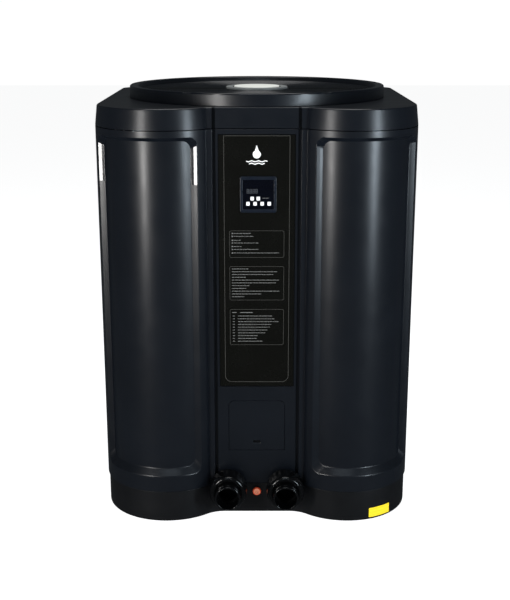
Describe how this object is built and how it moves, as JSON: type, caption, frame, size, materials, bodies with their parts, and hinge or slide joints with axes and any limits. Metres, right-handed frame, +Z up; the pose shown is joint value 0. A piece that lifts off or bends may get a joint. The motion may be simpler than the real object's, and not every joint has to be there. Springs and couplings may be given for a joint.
{
  "type": "pool heat pump",
  "caption": "Free-standing pool heat pump with round front columns, an upward fan grille, front water unions and a controller panel.",
  "frame": {"origin": "centre of the bounding box at floor level", "axes": "+Z up, -Y towards the front with the controller and unions, +X to the right seen from the front"},
  "size_m": [0.72, 0.718, 0.977],
  "materials": {
    "casing": "satin moulded blue-black plastic",
    "base": "satin black plastic",
    "label": "gloss olive-black overlay",
    "bezel": "satin slate blue",
    "screen": "dark blue gloss window",
    "button": "white key caps",
    "union": "gloss black",
    "drain": "orange-red",
    "sticker": "yellow film",
    "badge": "off-white film on a silver-grey cap",
    "rubber": "black",
    "fins": "finned coil",
    "steel": "zinc plated",
    "motor": "black",
    "copper": "copper",
    "pvc": "grey",
    "board": "green"
  },
  "bodies": {
    "cabinet": {"base_pan": "base", "foot_front_left": "rubber", "foot_front_right": "rubber", "foot_rear_left": "rubber", "foot_rear_right": "rubber", "front_left_column": "casing", "front_right_column": "casing", "rear_left_post": "casing", "rear_right_post": "casing", "left_coil_guard": "casing", "right_coil_guard": "casing", "rear_coil_guard": "casing", "top_cover": "casing", "fan_ring": "casing", "fan_grille": "casing", "grille_cap": "badge", "grille_badge": "badge", "fan_motor": "motor", "motor_bracket": "steel", "front_panel": "casing", "label_panel": "label", "display_bezel": "bezel", "display_screen": "screen", "display_board": "board", "base_sticker": "sticker", "cable_gland": "motor", "gland_cap": "motor", "evaporator_coil": "fins", "compressor": "motor", "accumulator": "motor", "suction_pipe": "copper", "discharge_pipe": "copper", "condenser_pipe": "copper", "evaporator_pipe": "copper", "liquid_line": "copper", "reversing_valve": "copper", "heat_exchanger": "pvc", "water_pipe_in": "pvc", "water_pipe_out": "pvc", "control_box": "steel", "control_box_cover": "steel", "terminal_block": "pvc", "union_spigot_left": "union", "union_spigot_right": "union", "union_seal_left": "rubber", "union_seal_right": "rubber", "union_tail_left": "union", "union_tail_right": "union"},
    "fan_rotor": {"fan_impeller": "motor", "fan_shaft": "steel"},
    "wiring_hatch": {"hatch_door": "casing"},
    "left_union_nut": {"union_nut_left": "union"},
    "right_union_nut": {"union_nut_right": "union"},
    "drain": {"drain_plug": "drain"},
    "key_up": {"button_up": "button"},
    "key_down": {"button_down": "button"},
    "key_power": {"button_power": "button"},
    "key_mode": {"button_mode": "button"},
    "key_timer": {"button_timer": "button"},
    "key_menu": {"button_menu": "button"}
  },
  "joints": [
    {"name": "fan_spin", "type": "hinge", "parent": "cabinet", "child": "fan_rotor", "pos_m": [0, 0.03, 0.9], "axis": [0, 0, 1], "continuous": true},
    {"name": "hatch_hinge", "type": "hinge", "parent": "cabinet", "child": "wiring_hatch", "pos_m": [0, -0.2785, 0.269], "axis": [-1, 0, 0], "range_deg": [0, 100]},
    {"name": "left_nut_turn", "type": "hinge", "parent": "cabinet", "child": "left_union_nut", "pos_m": [-0.0665, -0.31, 0.072], "axis": [0, -1, 0], "continuous": true},
    {"name": "right_nut_turn", "type": "hinge", "parent": "cabinet", "child": "right_union_nut", "pos_m": [0.0665, -0.31, 0.072], "axis": [0, -1, 0], "continuous": true},
    {"name": "drain_turn", "type": "hinge", "parent": "cabinet", "child": "drain", "pos_m": [0, -0.275, 0.0555], "axis": [0, -1, 0], "continuous": true},
    {"name": "key_up_press", "type": "slide", "parent": "cabinet", "child": "key_up", "axis": [0, 1, 0], "range_m": [0, 0.001], "stiffness_N_per_m": 500},
    {"name": "key_down_press", "type": "slide", "parent": "cabinet", "child": "key_down", "axis": [0, 1, 0], "range_m": [0, 0.001], "stiffness_N_per_m": 500},
    {"name": "key_power_press", "type": "slide", "parent": "cabinet", "child": "key_power", "axis": [0, 1, 0], "range_m": [0, 0.001], "stiffness_N_per_m": 500},
    {"name": "key_mode_press", "type": "slide", "parent": "cabinet", "child": "key_mode", "axis": [0, 1, 0], "range_m": [0, 0.001], "stiffness_N_per_m": 500},
    {"name": "key_timer_press", "type": "slide", "parent": "cabinet", "child": "key_timer", "axis": [0, 1, 0], "range_m": [0, 0.001], "stiffness_N_per_m": 500},
    {"name": "key_menu_press", "type": "slide", "parent": "cabinet", "child": "key_menu", "axis": [0, 1, 0], "range_m": [0, 0.001], "stiffness_N_per_m": 500}
  ]
}
